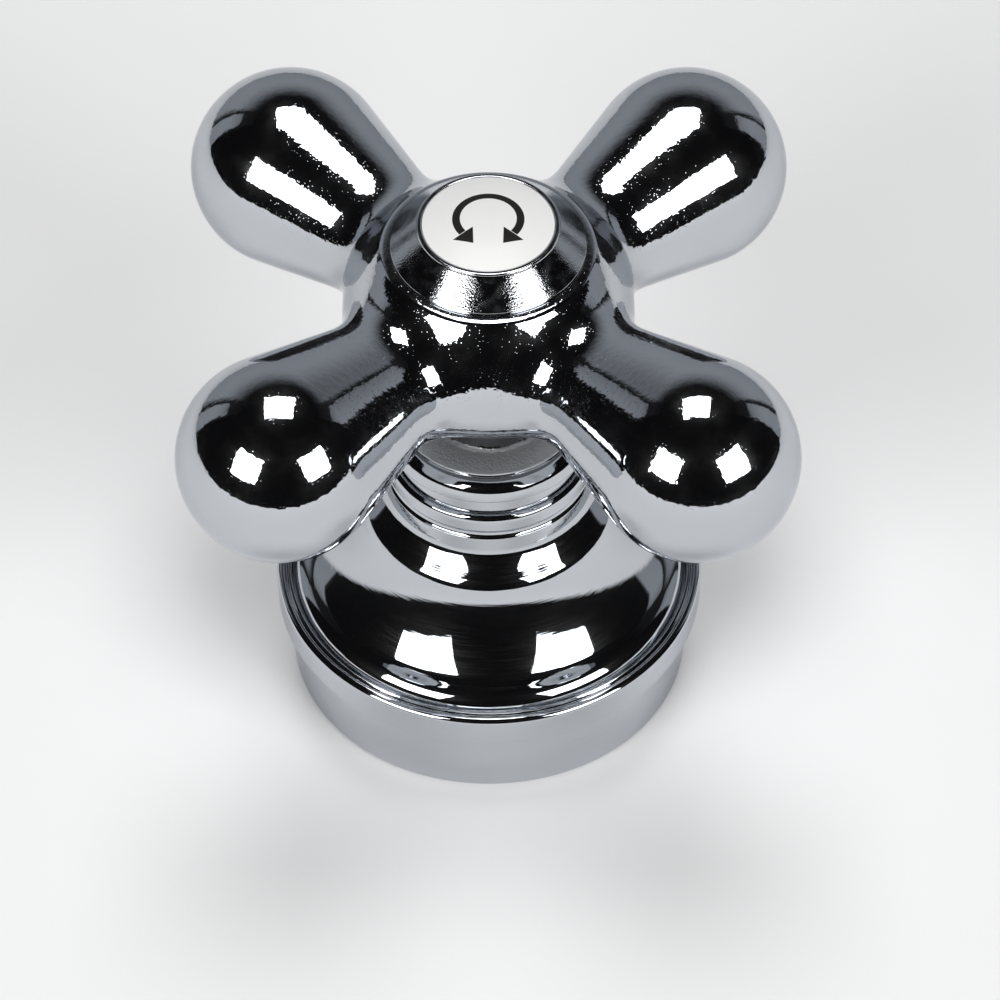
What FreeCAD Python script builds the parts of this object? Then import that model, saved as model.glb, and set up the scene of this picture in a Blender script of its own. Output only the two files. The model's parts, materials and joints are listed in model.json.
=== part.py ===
import FreeCAD, Part
import math
import os

# Replacement cross handle for a tap: one hollow casting with four club arms, a ringed neck
# and a bell skirt, closed on top by a domed index button that hides the stem screw.
# Millimetres. The origin is on the handle's axis, in the plane of the collar's lower edge.

# Arms
ARM_COUNT = 4
ARM_FIRST_ANGLE = 45.0
ARM_SPAN = 76.0
BULB_RADIUS = 10.0
ARM_WAIST_REACH = 12.0
ARM_WAIST_RADIUS = 6.2
ARM_BLEND_RADIUS = 6.0

# Collar and rim at the foot of the bell
COLLAR_RADIUS = 20.3
COLLAR_HEIGHT = 7.9
COLLAR_WALL = 2.0
COLLAR_CHAMFER = 0.3
RIM_OVERHANG = 1.45
RIM_STEP_HEIGHT = 0.6
RIM_BAND_HEIGHT = 2.74
RIM_ROLL_RADIUS = 0.58
RIM_ROLL_TURN = 78.0
# Fine turned lines between the roll and the brim: how far in from the rim, how far above its top
RIM_LINES = ((0.65, 0.61), (0.93, 0.34), (1.11, 0.49), (1.37, 0.545))

# Bell, from its brim up to the neck
BELL_HEIGHT = 9.81
EDGE_FOOT_SLOPE = 80.0
BRIM_INSET = 1.69
BRIM_RISE = 0.15
BRIM_ROUND = 2.3
BRIM_SLOPE = 15.5
DIP_ROUND = 2.25
DIP_SLOPE = 43.3
BELL_COVE_FOOT = 4.1
BELL_COVE_RISE = 0.5
BELL_WALL = 2.2
SKIRT_BEND = 1.8
SKIRT_DROP = 0.74

# Neck: three rings, from the lowest to the shelf
RING3_RADIUS = 13.05
RING3_HEIGHT = 3.85
RING3_ROUND = 2.45
RING3_SLOPE = 42.5
RING3_COVE_FOOT = 1.6
RING3_COVE_RISE = 0.7
NECK_RADIUS = 10.45
NECK_HEIGHT = 4.75
NECK_LINE_DEPTH = 0.35
NECK_LINE_RISE = 1.65
NECK_LINE_HEIGHT = 1.2
RING2_EDGE_HEIGHT = 0.8
GROOVE_RADIUS = 9.7
GROOVE_HEIGHT = 2.4
RING1_WALL_HEIGHT = 0.5
RING1_ROUND = 1.65
RING1_RADIUS = 10.55
SHELF_STEP = 0.4
SHELF_RADIUS = 9.1

# Hub, where the arms meet
HUB_RADIUS = 14.3
HUB_RISE = 14.05
HUB_CROWN = 8.65
HUB_SEAT_RADIUS = 9.62
HUB_LIP_RADIUS = 10.1
HUB_LIP_SLOPE = 11.0
HUB_LIP_ROUND = 0.8
CROWN_SLOPE = 48.7
CROWN_FLARE = 5.05
CROWN_SHOULDER = 0.3
HUB_BELLY = 8.4
STEM_RADIUS = 5.7
STEM_HEIGHT = 2.6
STEM_FLARE = 4.8
STEM_FOOT_RADIUS = 0.7

# Way for the valve stem, from below, and for the screw, from above
SOCKET_ROOF = 1.6
WELL_RADIUS = 8.2
WELL_DRAFT = 0.3
PILOT_RADIUS = 5.3
PILOT_DEPTH = 3.0
BROACH_POINTS = 12
BROACH_MAJOR_RADIUS = 4.9
BROACH_MINOR_RADIUS = 4.35
BROACH_DEPTH = 7.0
SCREW_HOLE_RADIUS = 2.7
SCREW_CLEARANCE = 0.25
SCREW_HEAD_RADIUS = 4.5
SCREW_HEAD_HEIGHT = 2.8
SCREW_HEAD_ROUND = 0.8
SCREW_LENGTH = 19.0
SCREW_SLOT_WIDTH = 1.2
SCREW_SLOT_DEPTH = 1.3
SCREW_SEAT_DEPTH = 11.0

# Index button
BUTTON_RADIUS = 9.5
BUTTON_EDGE_HEIGHT = 0.4
BUTTON_HEIGHT = 2.85
BUTTON_RING_RADIUS = 6.95
BUTTON_RING_WIDTH = 0.5
BUTTON_RING_ROUND = 0.2
PLUG_RADIUS = 5.5
PLUG_LENGTH = 4.5
PLUG_BORE_RADIUS = 4.3
PLUG_CLEARANCE = 0.05
DISC_CLEARANCE = 0.05
DISC_THICKNESS = 1.1
DISC_CROWN = 0.85

# How near a point counts as being on a surface, and how full a rounded corner is
SKIN_TOLERANCE = 1e-4
FULLNESS = 0.55

# Heights worked out from the sizes above
rim_foot = COLLAR_HEIGHT + RIM_STEP_HEIGHT
rim_top = rim_foot + RIM_BAND_HEIGHT
bell_top = rim_top + BELL_HEIGHT
neck_foot = bell_top + RING3_HEIGHT
groove_foot = neck_foot + NECK_HEIGHT
ring1_foot = groove_foot + GROOVE_HEIGHT
ring1_top = ring1_foot + RING1_WALL_HEIGHT + RING1_ROUND
shelf = ring1_top + SHELF_STEP
arm_axis = shelf + HUB_RISE
hub_top = arm_axis + HUB_CROWN
screw_seat = hub_top - SCREW_SEAT_DEPTH
socket_top = shelf - SOCKET_ROOF
socket_mouth = socket_top - BROACH_DEPTH - PILOT_DEPTH

# Radii worked out from the sizes above
rim_radius = COLLAR_RADIUS + RIM_OVERHANG
collar_bore = COLLAR_RADIUS - COLLAR_WALL
bore_top = rim_top - SKIRT_DROP
plug_socket = PLUG_RADIUS + PLUG_CLEARANCE


def point(radius, height):
    """A point of a half section, in the plane that holds the handle's axis."""
    return FreeCAD.Vector(radius, 0, height)


def line(start, end):
    return Part.LineSegment(start, end).toShape()


def arc(centre, radius, from_angle, to_angle):
    """A round stretch of a section. Angles in degrees: 0 points outwards, 90 up."""
    points = []
    for angle in (from_angle, (from_angle + to_angle) / 2, to_angle):
        turn = math.radians(angle)
        points.append(centre + point(radius * math.cos(turn), radius * math.sin(turn)))
    return Part.Arc(*points).toShape()


def sweep_curve(*poles):
    """A smooth stretch of a section: it leaves the first pole and meets the last along the poles' lines."""
    curve = Part.BezierCurve()
    curve.setPoles(list(poles))
    return curve.toShape()


def quarter_round(start, corner, end):
    """A rounded corner between two stretches that would meet at a sharp one."""
    return sweep_curve(start, start + (corner - start) * FULLNESS, end + (corner - end) * FULLNESS, end)


def start_of(edge):
    return edge.valueAt(edge.FirstParameter)


def end_of(edge):
    return edge.valueAt(edge.LastParameter)


def section(*stretches):
    """Joins stretches into one chain: a straight line closes each gap between two neighbours."""
    edges = [stretches[0]]
    for stretch in stretches[1:]:
        gap_start = end_of(edges[-1])
        gap_end = start_of(stretch)
        if gap_start.distanceToPoint(gap_end) > 1e-6:
            edges.append(line(gap_start, gap_end))
        edges.append(stretch)
    return edges


def turned(edges):
    """The solid that a half section makes when it is turned about the handle's axis."""
    first = start_of(edges[0])
    last = end_of(edges[-1])
    closed = list(edges)
    if last.distanceToPoint(first) > 1e-6:
        closed.append(line(last, first))
    face = Part.Face(Part.Wire(closed))
    return face.revolve(FreeCAD.Vector(0, 0, 0), FreeCAD.Vector(0, 0, 1), 360)


def cylinder(radius, low, high):
    return Part.makeCylinder(radius, high - low, point(0, low))


def up_slope(slope, length):
    """A step up a slope of a section, towards the axis."""
    turn = math.radians(slope)
    return point(-length * math.cos(turn), length * math.sin(turn))


def off_slope(slope, length):
    """A step straight out of a slope of a section."""
    turn = math.radians(slope)
    return point(length * math.sin(turn), length * math.cos(turn))


def rounded_edge(foot, radius, foot_slope, top_slope):
    """A round edge that starts on a steep slope at its foot and ends on a flatter one."""
    centre = foot - off_slope(foot_slope, radius)
    return arc(centre, radius, 90.0 - foot_slope, 90.0 - top_slope)


def cove(foot, foot_slope, foot_pull, top, top_slope, top_pull):
    """A hollow sweep between two slopes. A longer pull keeps it on that end's slope for longer."""
    return sweep_curve(foot, foot + up_slope(foot_slope, foot_pull), top - up_slope(top_slope, top_pull), top)


def bell_outline():
    """The handle's outer section from the collar's lower edge up to the shelf above the rings."""
    chamfer = line(point(COLLAR_RADIUS - COLLAR_CHAMFER, 0), point(COLLAR_RADIUS, COLLAR_CHAMFER))
    step = line(point(COLLAR_RADIUS, COLLAR_HEIGHT), point(rim_radius, rim_foot))
    roll = arc(point(rim_radius - RIM_ROLL_RADIUS, rim_top), RIM_ROLL_RADIUS, 0.0, RIM_ROLL_TURN)
    marks = [point(rim_radius - inset, rim_top + rise) for inset, rise in RIM_LINES]
    rim_lines = [line(start, end) for start, end in zip(marks[:-1], marks[1:])]
    brim_foot = point(rim_radius - BRIM_INSET, rim_top + BRIM_RISE)
    brim = rounded_edge(brim_foot, BRIM_ROUND, EDGE_FOOT_SLOPE, BRIM_SLOPE)
    dip_centre = end_of(brim) + off_slope(BRIM_SLOPE, DIP_ROUND)
    dip = arc(dip_centre, DIP_ROUND, 270.0 - BRIM_SLOPE, 270.0 - DIP_SLOPE)
    ring3_foot = point(RING3_RADIUS, bell_top)
    bell_cove = cove(
        end_of(dip), DIP_SLOPE, BELL_COVE_FOOT, ring3_foot, EDGE_FOOT_SLOPE, BELL_COVE_RISE
    )
    ring3_edge = rounded_edge(ring3_foot, RING3_ROUND, EDGE_FOOT_SLOPE, RING3_SLOPE)
    ring3_cove = cove(
        end_of(ring3_edge),
        RING3_SLOPE,
        RING3_COVE_FOOT,
        point(NECK_RADIUS, neck_foot),
        90.0,
        RING3_COVE_RISE,
    )
    neck_line_foot = neck_foot + NECK_LINE_RISE
    neck_line = Part.Arc(
        point(NECK_RADIUS, neck_line_foot),
        point(NECK_RADIUS - NECK_LINE_DEPTH, neck_line_foot + NECK_LINE_HEIGHT / 2),
        point(NECK_RADIUS, neck_line_foot + NECK_LINE_HEIGHT),
    ).toShape()
    ring2_edge = quarter_round(
        point(NECK_RADIUS, groove_foot - RING2_EDGE_HEIGHT),
        point(NECK_RADIUS, groove_foot),
        point(GROOVE_RADIUS, groove_foot),
    )
    ring1_wall = line(point(RING1_RADIUS, ring1_foot), point(RING1_RADIUS, ring1_top - RING1_ROUND))
    ring1_round = quarter_round(
        end_of(ring1_wall), point(RING1_RADIUS, ring1_top), point(SHELF_RADIUS, ring1_top)
    )
    return section(
        line(point(0, 0), start_of(chamfer)),
        chamfer,
        step,
        roll,
        *rim_lines,
        brim,
        dip,
        bell_cove,
        ring3_edge,
        ring3_cove,
        neck_line,
        ring2_edge,
        line(point(GROOVE_RADIUS, groove_foot), point(GROOVE_RADIUS, ring1_foot)),
        ring1_wall,
        ring1_round,
        line(point(SHELF_RADIUS, shelf), point(0, shelf)),
    )


def hub():
    """The body where the arms meet: a short stem, a round belly and a crown that carries the button."""
    foot = arc(
        point(STEM_RADIUS + STEM_FOOT_RADIUS, shelf + STEM_FOOT_RADIUS), STEM_FOOT_RADIUS, 270.0, 180.0
    )
    stem_top = shelf + STEM_HEIGHT
    belly = sweep_curve(
        point(STEM_RADIUS, stem_top),
        point(STEM_RADIUS, stem_top + STEM_FLARE),
        point(HUB_RADIUS, arm_axis - HUB_BELLY),
        point(HUB_RADIUS, arm_axis),
    )
    lip_drop = (HUB_LIP_RADIUS - HUB_SEAT_RADIUS) * math.tan(math.radians(HUB_LIP_SLOPE))
    lip_centre = point(HUB_LIP_RADIUS, hub_top - lip_drop) - off_slope(HUB_LIP_SLOPE, HUB_LIP_ROUND)
    lip = arc(lip_centre, HUB_LIP_ROUND, 90.0 - CROWN_SLOPE, 90.0 - HUB_LIP_SLOPE)
    crown = cove(
        point(HUB_RADIUS, arm_axis), 90.0, CROWN_SHOULDER, start_of(lip), CROWN_SLOPE, CROWN_FLARE
    )
    return turned(
        section(
            line(point(0, shelf), start_of(foot)),
            foot,
            belly,
            crown,
            lip,
            line(point(HUB_SEAT_RADIUS, hub_top), point(0, hub_top)),
        )
    )


def club_arm():
    """One arm along +X: a taper that leaves the hub and runs tangent into a round bulb."""
    reach = ARM_SPAN / 2 - BULB_RADIUS
    run = reach - ARM_WAIST_REACH
    spread = math.atan2(ARM_WAIST_RADIUS, run)
    distance = math.hypot(run, ARM_WAIST_RADIUS)
    taper = math.asin(BULB_RADIUS / distance) - spread
    meeting = 90.0 + math.degrees(taper)
    root_radius = ARM_WAIST_RADIUS - ARM_WAIST_REACH * math.tan(taper)
    bulb = arc(point(reach, 0), BULB_RADIUS, meeting, 0.0)
    outline = section(
        line(point(0, 0), point(0, root_radius)),
        line(point(0, root_radius), start_of(bulb)),
        bulb,
        line(end_of(bulb), point(0, 0)),
    )
    face = Part.Face(Part.Wire(outline))
    arm = face.revolve(FreeCAD.Vector(0, 0, 0), FreeCAD.Vector(1, 0, 0), 360)
    arm.translate(point(0, arm_axis))
    return arm


def blended_cross():
    """Hub and arms as one body, with a round blend where each arm leaves the hub."""
    middle = hub()
    arms = []
    for index in range(ARM_COUNT):
        arm = club_arm()
        turn = ARM_FIRST_ANGLE + index * 360.0 / ARM_COUNT
        arm.rotate(FreeCAD.Vector(0, 0, 0), FreeCAD.Vector(0, 0, 1), turn)
        arms.append(arm)
    cross = middle.fuse(arms)
    hub_edges = [edge for edge in cross.Edges if lies_on(edge, middle)]
    roots = [edge for edge in hub_edges if any(lies_on(edge, arm) for arm in arms)]
    return cross.makeFillet(ARM_BLEND_RADIUS, roots)


def lies_on(edge, solid):
    """True where the middle of an edge is on a solid's skin."""
    middle = edge.valueAt((edge.FirstParameter + edge.LastParameter) / 2)
    return solid.Shells[0].distToShape(Part.Vertex(middle))[0] < SKIN_TOLERANCE


def bell_hollow():
    """The space inside the bell: the collar's bore, the bell's inside and the well up into the neck."""
    bell_inside = RING3_RADIUS - BELL_WALL
    return turned(
        section(
            line(point(0, -COLLAR_WALL), point(collar_bore, -COLLAR_WALL)),
            line(point(collar_bore, -COLLAR_WALL), point(collar_bore, bore_top)),
            line(
                point(collar_bore - SKIRT_BEND, bore_top + SKIRT_BEND),
                point(bell_inside, bell_top - BELL_WALL),
            ),
            line(point(WELL_RADIUS, bell_top), point(WELL_RADIUS - WELL_DRAFT, socket_mouth)),
            line(point(WELL_RADIUS - WELL_DRAFT, socket_mouth), point(0, socket_mouth)),
        )
    )


def stem_socket():
    """The broached socket that slips over the valve stem, with a plain pilot bore at its mouth."""
    pilot = cylinder(PILOT_RADIUS, socket_mouth - PILOT_DEPTH / 2, socket_mouth + PILOT_DEPTH)
    corners = []
    for index in range(2 * BROACH_POINTS):
        radius = BROACH_MAJOR_RADIUS if index % 2 == 0 else BROACH_MINOR_RADIUS
        turn = math.pi * index / BROACH_POINTS
        corners.append(FreeCAD.Vector(radius * math.cos(turn), radius * math.sin(turn), socket_mouth))
    star = Part.Face(Part.makePolygon(corners + corners[:1]))
    broach = star.extrude(point(0, socket_top - socket_mouth))
    return pilot.fuse(broach)


def handle_casting():
    body = turned(bell_outline()).fuse(blended_cross())
    screw_way = cylinder(SCREW_HOLE_RADIUS, socket_mouth, screw_seat)
    button_socket = cylinder(plug_socket, screw_seat, hub_top + PLUG_LENGTH)
    hollows = [bell_hollow(), stem_socket(), screw_way, button_socket]
    return body.cut(hollows).removeSplitter()


def stem_screw():
    """Round-headed slotted screw that clamps the casting to the stem, seated below the button."""
    shank = cylinder(SCREW_HOLE_RADIUS - SCREW_CLEARANCE, screw_seat - SCREW_LENGTH, screw_seat)
    head = cylinder(SCREW_HEAD_RADIUS, screw_seat, screw_seat + SCREW_HEAD_HEIGHT)
    crown_edge = max(head.Edges, key=lambda edge: edge.CenterOfMass.z)
    head = head.makeFillet(SCREW_HEAD_ROUND, [crown_edge])
    slot = Part.makeBox(2 * SCREW_HEAD_RADIUS, SCREW_SLOT_WIDTH, SCREW_SLOT_DEPTH)
    slot_floor = screw_seat + SCREW_HEAD_HEIGHT - SCREW_SLOT_DEPTH
    slot.translate(FreeCAD.Vector(-SCREW_HEAD_RADIUS, -SCREW_SLOT_WIDTH / 2, slot_floor))
    return shank.fuse(head).cut(slot).removeSplitter()


def button_bezel():
    """The button's plated body: a cone with a fine raised ring, a pocket for the disc and a plug below."""
    edge_top = hub_top + BUTTON_EDGE_HEIGHT
    cone_top = hub_top + BUTTON_HEIGHT
    ring_inner = BUTTON_RING_RADIUS - BUTTON_RING_WIDTH
    ring_top = cone_top + BUTTON_RING_ROUND
    pocket = ring_top - DISC_THICKNESS
    plug_foot = hub_top - PLUG_LENGTH
    ring = arc(
        point(BUTTON_RING_RADIUS - BUTTON_RING_ROUND, cone_top), BUTTON_RING_ROUND, 0.0, 90.0
    )
    outline = section(
        line(point(PLUG_BORE_RADIUS, plug_foot), point(PLUG_RADIUS, plug_foot)),
        line(point(PLUG_RADIUS, plug_foot), point(PLUG_RADIUS, hub_top)),
        line(point(BUTTON_RADIUS, hub_top), point(BUTTON_RADIUS, edge_top)),
        ring,
        line(point(ring_inner, ring_top), point(ring_inner, pocket)),
        line(point(0, pocket), point(0, hub_top)),
        line(point(PLUG_BORE_RADIUS, hub_top), point(PLUG_BORE_RADIUS, plug_foot)),
    )
    return turned(outline)


def button_disc():
    """The domed disc that lies in the bezel's pocket."""
    disc_radius = BUTTON_RING_RADIUS - BUTTON_RING_WIDTH - DISC_CLEARANCE
    foot = hub_top + BUTTON_HEIGHT + BUTTON_RING_ROUND - DISC_THICKNESS
    rim = foot + DISC_THICKNESS
    dome_radius = (disc_radius**2 + DISC_CROWN**2) / (2 * DISC_CROWN)
    dome_centre = point(0, rim + DISC_CROWN - dome_radius)
    edge_angle = math.degrees(math.acos(disc_radius / dome_radius))
    dome = arc(dome_centre, dome_radius, edge_angle, 90.0)
    outline = section(
        line(point(0, foot), point(disc_radius, foot)),
        line(point(disc_radius, foot), start_of(dome)),
        dome,
    )
    return turned(outline)


os.makedirs("parts", exist_ok=True)
for make_piece in (handle_casting, stem_screw, button_bezel, button_disc):
    piece = make_piece()
    piece.exportStep(os.path.join("parts", make_piece.__name__ + ".step"))
    print(make_piece.__name__, "solids", len(piece.Solids), "volume", round(piece.Volume, 1), piece.isValid())
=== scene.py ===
# %% [markdown]
# # A chromed cross handle for a tap
# The handle is one zinc casting with four club arms, a ringed neck and a bell skirt, plated with
# bright chromium. A button with a white disc closes the hub and hides the screw that clamps the handle
# to its valve. The CAD frame gives the pieces at their real size. This lesson gives them their looks.

# %% Load the frame
import json
import math
import bmesh
import bpy
import numpy as np
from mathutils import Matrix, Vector


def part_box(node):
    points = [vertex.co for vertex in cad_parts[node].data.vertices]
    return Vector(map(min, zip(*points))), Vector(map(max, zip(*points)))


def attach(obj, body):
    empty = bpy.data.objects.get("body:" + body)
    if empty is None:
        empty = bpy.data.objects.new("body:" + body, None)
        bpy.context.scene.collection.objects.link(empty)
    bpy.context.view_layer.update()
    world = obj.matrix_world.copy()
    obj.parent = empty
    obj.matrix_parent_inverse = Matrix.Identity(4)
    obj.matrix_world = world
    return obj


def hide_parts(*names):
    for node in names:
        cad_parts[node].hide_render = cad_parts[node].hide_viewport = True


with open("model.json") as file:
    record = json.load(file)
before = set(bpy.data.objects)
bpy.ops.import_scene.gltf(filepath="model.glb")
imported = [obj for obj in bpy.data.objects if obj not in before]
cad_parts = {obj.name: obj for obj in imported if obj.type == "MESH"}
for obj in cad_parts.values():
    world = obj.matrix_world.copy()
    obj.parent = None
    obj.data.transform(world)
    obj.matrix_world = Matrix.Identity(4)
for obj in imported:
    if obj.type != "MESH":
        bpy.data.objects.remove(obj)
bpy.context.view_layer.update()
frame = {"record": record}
MM = 0.001

# %% [markdown]
# ## Why the plated pieces are modelled again
# A mirror shows every flat facet of a mesh. The frame's casting is exact to a fiftieth of a millimetre,
# which is fine for fitting, but its facets would show as broken reflections. So each plated piece is
# built again here with fine, even faces and with exact normals, in the same place and at the same size.
# The heights that the pieces share are read from the frame's boxes and from its mounts.

# %% Heights and bores taken from the frame
PLUG_LENGTH = 4.5
mounts = {mount["name"]: mount for mount in frame["record"]["mounts"]}
bezel_low, bezel_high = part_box("button_bezel")
disc_low, disc_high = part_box("button_disc")
screw_low, screw_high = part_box("stem_screw")
PLUG_FOOT = bezel_low.z / MM
HUB_TOP = PLUG_FOOT + PLUG_LENGTH
BEZEL_RADIUS = bezel_high.x / MM
BEZEL_TOP = bezel_high.z / MM
DISC_RADIUS = disc_high.x / MM
DISC_FOOT = disc_low.z / MM
DISC_TOP = disc_high.z / MM
SCREW_TIP = screw_low.z / MM
SCREW_TOP = screw_high.z / MM
SCREW_HEAD_RADIUS = screw_high.x / MM
print("hub top", round(HUB_TOP, 2), "disc", round(DISC_RADIUS, 2), "screw tip", round(SCREW_TIP, 2))

# %% [markdown]
# ## Outlines
# A turned shape is drawn as half of its section: a chain of points, each a radius and a height.
# Round stretches come from an arc or a Bezier curve. Real edges are never quite sharp, so the last
# helper rounds every corner of a chain a little: that thin round is what catches the light.

# %% Curves
def arc(centre, radius, start, end, steps=12):
    """Points of a circle's arc. Angles in degrees: 0 points outwards, 90 up."""
    turn = np.radians(np.linspace(start, end, steps + 1))
    return np.array(centre) + radius * np.column_stack((np.cos(turn), np.sin(turn)))


def bezier(first, second, third, fourth, steps=24):
    """Points of a curve that leaves the first pole and meets the fourth along the poles' lines."""
    share = np.linspace(0, 1, steps + 1)[:, None]
    rest = 1 - share
    poles = [np.array(pole, float) for pole in (first, second, third, fourth)]
    weights = (rest**3, 3 * share * rest**2, 3 * share**2 * rest, share**3)
    return sum(weight * pole for weight, pole in zip(weights, poles))


def quarter_round(start, corner, end, fullness=0.55):
    """A round from one point to another that bulges towards a corner."""
    start, corner, end = (np.array(point, float) for point in (start, corner, end))
    leaving = start + (corner - start) * fullness
    arriving = end + (corner - end) * fullness
    return bezier(start, leaving, arriving, end, steps=10)


print("quarter of a circle", arc((0, 0), 1, 0, 90, steps=2).round(2).tolist())

# %% Chains with eased corners
SAME_PLACE = 1e-6


def chain(*stretches):
    """Joins points and curves into one chain and drops points that fall on each other."""
    points = np.vstack([np.atleast_2d(stretch) for stretch in stretches])
    step = np.linalg.norm(np.diff(points, axis=0), axis=1)
    return points[np.concatenate(([True], step > SAME_PLACE))]


def eased(points, radius, sharp=18.0, most_of_side=0.4, steps=4):
    """Rounds each corner that turns by more than sharp degrees, and uses up only a share of its sides."""
    smooth = [points[0]]
    for before, corner, after in zip(points[:-2], points[1:-1], points[2:]):
        reach_in, reach_out = corner - before, after - corner
        length_in, length_out = np.linalg.norm(reach_in), np.linalg.norm(reach_out)
        way_in, way_out = reach_in / length_in, reach_out / length_out
        turn = math.acos(np.clip(way_in @ way_out, -1, 1))
        if math.degrees(turn) < sharp:
            smooth.append(corner)
            continue
        cut = min(radius * math.tan(turn / 2), most_of_side * length_in, most_of_side * length_out)
        start, end = corner - way_in * cut, corner + way_out * cut
        for share in np.linspace(0, 1, steps + 1):
            rest = 1 - share
            smooth.append(rest**2 * start + 2 * share * rest * corner + share**2 * end)
    smooth.append(points[-1])
    return np.array(smooth)


print("an eased corner has", len(eased(chain((0, 0), (1, 0), (1, 1)), 0.1)) - 2, "points")

# %% [markdown]
# ## The bell, the rings and the hollow below them
# This is the outline that a pattern maker would turn: a plain collar, a rim with a fine rolled bead,
# the bell's ogee, three rings and the flat shelf under the arms. A drawn profile and a screw modifier
# could do it, but slopes matter here: where the bell mirrors a lamp depends on its slope alone. So the
# outline is written with slopes, in degrees. The dip above the brim is up to 0.12 mm fuller than the
# frame's, so that the lamp overhead doesn't show in it. The same chain goes on underneath, up the
# collar's bore and the hollow, so the casting has its true wall when it is seen from below.

# %% Slopes and rounded edges
EDGE_FOOT_SLOPE = 80.0


def slope_way(slope):
    """One step up a slope, towards the axis."""
    return np.array((-math.cos(math.radians(slope)), math.sin(math.radians(slope))))


def facing_way(slope):
    """The direction that a slope faces."""
    return np.array((math.sin(math.radians(slope)), math.cos(math.radians(slope))))


def edge_arc(foot, radius, top_slope):
    """A rounded edge that starts steep at its foot and ends on a flatter slope."""
    centre = np.array(foot) - radius * facing_way(EDGE_FOOT_SLOPE)
    return arc(centre, radius, 90 - EDGE_FOOT_SLOPE, 90 - top_slope, steps=16)


print("the foot of an edge faces", facing_way(EDGE_FOOT_SLOPE).round(2))

# %% The bell, from its brim up to the third ring
BRIM_RADIUS, BRIM_FOOT, BRIM_ROUND, BRIM_SLOPE, BRIM_FLAT = 20.06, 11.39, 2.3, 24.0, 0.25
DIP_ROUND, DIP_SLOPE, BELL_COVE_FOOT, BELL_COVE_RISE = 3.4, 43.3, 3.9, 0.5
BELL_TOP, RING3_RADIUS = 21.05, 13.05

brim = edge_arc((BRIM_RADIUS, BRIM_FOOT), BRIM_ROUND, BRIM_SLOPE)
dip_centre = brim[-1] + BRIM_FLAT * slope_way(BRIM_SLOPE) + DIP_ROUND * facing_way(BRIM_SLOPE)
dip = arc(dip_centre, DIP_ROUND, 270 - BRIM_SLOPE, 270 - DIP_SLOPE, steps=10)
ring3_foot = np.array((RING3_RADIUS, BELL_TOP))
bell_cove = bezier(
    dip[-1],
    dip[-1] + BELL_COVE_FOOT * slope_way(DIP_SLOPE),
    ring3_foot - BELL_COVE_RISE * slope_way(EDGE_FOOT_SLOPE),
    ring3_foot,
    steps=28,
)
print("bell from", brim[0].round(2), "to", bell_cove[-1].round(2))

# %% The third ring, and the neck with its line
RING3_ROUND, RING3_SLOPE, RING3_COVE_FOOT, RING3_COVE_RISE = 2.45, 42.5, 1.6, 0.7
NECK_RADIUS, NECK_FOOT = 10.45, 24.9
NECK_LINE_FOOT, NECK_LINE_HEIGHT, NECK_LINE_DEPTH = 26.55, 1.2, 0.35

ring3_edge = edge_arc(ring3_foot, RING3_ROUND, RING3_SLOPE)
ring3_cove = bezier(
    ring3_edge[-1],
    ring3_edge[-1] + RING3_COVE_FOOT * slope_way(RING3_SLOPE),
    (NECK_RADIUS, NECK_FOOT - RING3_COVE_RISE),
    (NECK_RADIUS, NECK_FOOT),
)
half_line = NECK_LINE_HEIGHT / 2
line_round = (half_line**2 + NECK_LINE_DEPTH**2) / (2 * NECK_LINE_DEPTH)
line_angle = math.degrees(math.asin(half_line / line_round))
line_centre = (NECK_RADIUS + line_round - NECK_LINE_DEPTH, NECK_LINE_FOOT + half_line)
neck_line = arc(line_centre, line_round, 180 + line_angle, 180 - line_angle, steps=10)
print("radius of the neck's line", round(line_round, 2))

# %% The upper rings, the shelf and the rim's roll
RING2_TOP, RING2_ROUND, GROOVE_RADIUS = 29.65, 0.8, 9.7
RING1_RADIUS, RING1_FOOT, RING1_TOP, RING1_ROUND = 10.55, 32.05, 34.2, 1.65
SHELF, SHELF_RADIUS, STEM_RADIUS, STEM_FOOT_ROUND = 34.6, 9.1, 5.7, 0.7
RIM_RADIUS, RIM_TOP, RIM_ROUND, RIM_ROLL = 21.75, 11.24, 0.58, 78.0

ring2_edge = quarter_round(
    (NECK_RADIUS, RING2_TOP - RING2_ROUND), (NECK_RADIUS, RING2_TOP), (GROOVE_RADIUS, RING2_TOP)
)
ring1_edge = quarter_round(
    (RING1_RADIUS, RING1_TOP - RING1_ROUND), (RING1_RADIUS, RING1_TOP), (SHELF_RADIUS, RING1_TOP)
)
stem_foot_centre = (STEM_RADIUS + STEM_FOOT_ROUND, SHELF + STEM_FOOT_ROUND)
stem_foot = arc(stem_foot_centre, STEM_FOOT_ROUND, 270, 180, steps=8)
roll = arc((RIM_RADIUS - RIM_ROUND, RIM_TOP), RIM_ROUND, 0, RIM_ROLL)
print("shelf at", SHELF, "rim ends at", roll[-1].round(2))

# %% The whole outside, from the collar up to the stem
COLLAR_RADIUS, COLLAR_HEIGHT, COLLAR_CHAMFER, RIM_FOOT = 20.3, 7.9, 0.3, 8.5
RIM_LINES = ((21.1, 11.85), (20.82, 11.58), (20.64, 11.73), (20.38, 11.785))
STEM_CUT = SHELF + 1.6

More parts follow.
